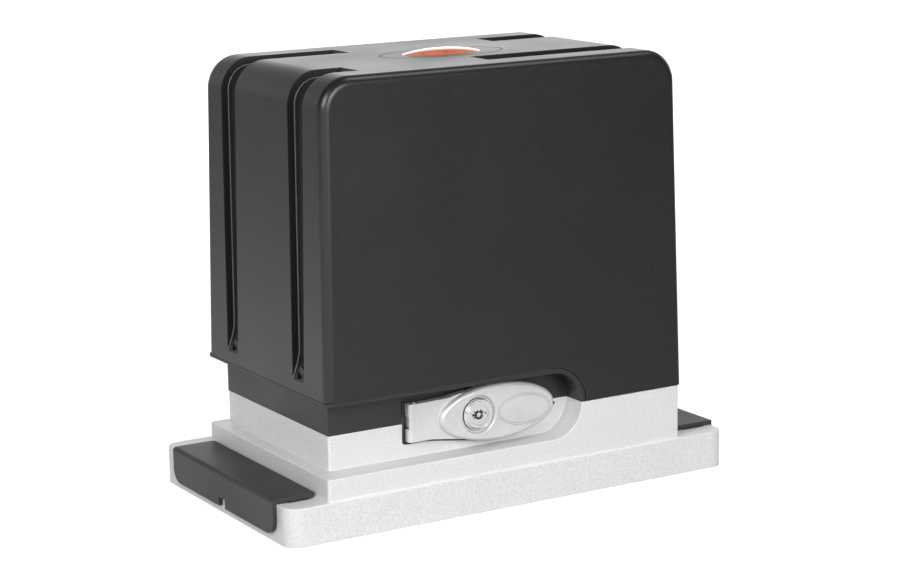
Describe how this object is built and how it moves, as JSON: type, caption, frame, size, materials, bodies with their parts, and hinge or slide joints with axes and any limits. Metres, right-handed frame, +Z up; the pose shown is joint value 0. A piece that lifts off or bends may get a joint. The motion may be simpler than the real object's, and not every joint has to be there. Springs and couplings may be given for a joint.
{
  "type": "sliding gate operator",
  "caption": "Sliding gate operator: cast base with side lever lock and rear rack pinion, black moulded hood with wrap-over channels and an oval top lens.",
  "frame": {"origin": "middle of the foot flange, on the ground plane", "axes": "+X along the gate, -Y to the front with the lever, +Z up"},
  "size_m": [0.3339, 0.201, 0.2871],
  "materials": {
    "casting": "satin, sand-textured cast",
    "gear_metal": "as cast",
    "hood_plastic": "satin moulded",
    "skirt_plastic": "satin moulded",
    "cover_plastic": "satin moulded",
    "lens_plastic": "clear orange-red",
    "lever_metal": "satin die-cast",
    "lock_metal": "satin chrome",
    "steel": "ground",
    "zinc": "zinc plated",
    "bronze": "machined bronze",
    "copper": "enamelled copper",
    "lamination": "laminated steel",
    "rubber": "black",
    "can_plastic": "off-white",
    "tray_plastic": "black",
    "board": "green laminate",
    "relay_plastic": "blue",
    "terminal_plastic": "green"
  },
  "bodies": {
    "base": {"base_housing": "casting", "skirt": "skirt_plastic", "hood": "hood_plastic", "hood_screws": "zinc", "top_lens": "lens_plastic", "foot_cover_left": "cover_plastic", "foot_cover_right": "cover_plastic", "lever_pin": "steel", "front_bearing": "steel", "rear_bearing": "steel", "shaft_seal": "rubber", "gear_cover": "gear_metal", "gear_cover_screws": "zinc", "worm_foot_bearing": "steel", "worm_neck_bearing": "steel", "rotor_top_bearing": "steel", "motor_flange": "gear_metal", "motor_end_cap": "gear_metal", "motor_screws": "zinc", "stator_core": "lamination", "stator_windings": "copper", "transformer_core": "lamination", "transformer_coil": "copper", "capacitor": "can_plastic", "capacitor_clip": "steel", "board_bracket": "tray_plastic", "control_board": "board", "relays": "relay_plastic", "terminal_blocks": "terminal_plastic", "limit_sensor": "tray_plastic", "cable_grommet": "rubber", "earth_screw": "zinc"},
    "lever": {"release_lever": "lever_metal", "lock_barrel": "lock_metal", "lock_nut": "steel"},
    "lock": {"lock_plug": "lock_metal", "lock_cam": "steel", "cam_screw": "steel"},
    "output": {"output_shaft": "steel", "shaft_key": "steel", "drive_pinion": "steel", "pinion_ring": "steel", "spring_washer": "steel", "clutch_spring": "steel"},
    "clutch": {"clutch_sleeve": "steel", "clutch_pin": "steel", "release_rod": "steel"},
    "wheel": {"worm_wheel": "bronze", "wheel_hub": "steel", "wheel_bush": "bronze"},
    "rotor": {"worm_shaft": "steel", "rotor_core": "lamination"}
  },
  "joints": [
    {"name": "lever_swing", "type": "hinge", "parent": "base", "child": "lever", "pos_m": [-0.0665, -0.0729, 0.06155], "axis": [0, 0, -1], "range_deg": [0, 90]},
    {"name": "key_turn", "type": "hinge", "parent": "lever", "child": "lock", "pos_m": [-0.0232, -0.0814, 0.0613], "axis": [0, 1, 0], "range_deg": [0, 90]},
    {"name": "rotor_spin", "type": "hinge", "parent": "base", "child": "rotor", "pos_m": [-0.01, 0, 0.1], "axis": [0, 0, 1], "continuous": true},
    {"name": "wheel_spin", "type": "hinge", "parent": "base", "child": "wheel", "pos_m": [-0.05, 0, 0.064], "axis": [0, 1, 0], "continuous": true},
    {"name": "output_spin", "type": "hinge", "parent": "base", "child": "output", "pos_m": [-0.05, 0, 0.064], "axis": [0, 1, 0], "continuous": true},
    {"name": "clutch_slide", "type": "slide", "parent": "output", "child": "clutch", "axis": [0, -1, 0], "range_m": [0, 0.006]}
  ],
  "couplings": [
    {"joint": "wheel_spin", "follows": "rotor_spin", "ratio": 0.033333},
    {"joint": "output_spin", "follows": "rotor_spin", "ratio": 0.033333},
    {"joint": "clutch_slide", "follows": "lever_swing", "m_per_rad": 0.0038197}
  ]
}
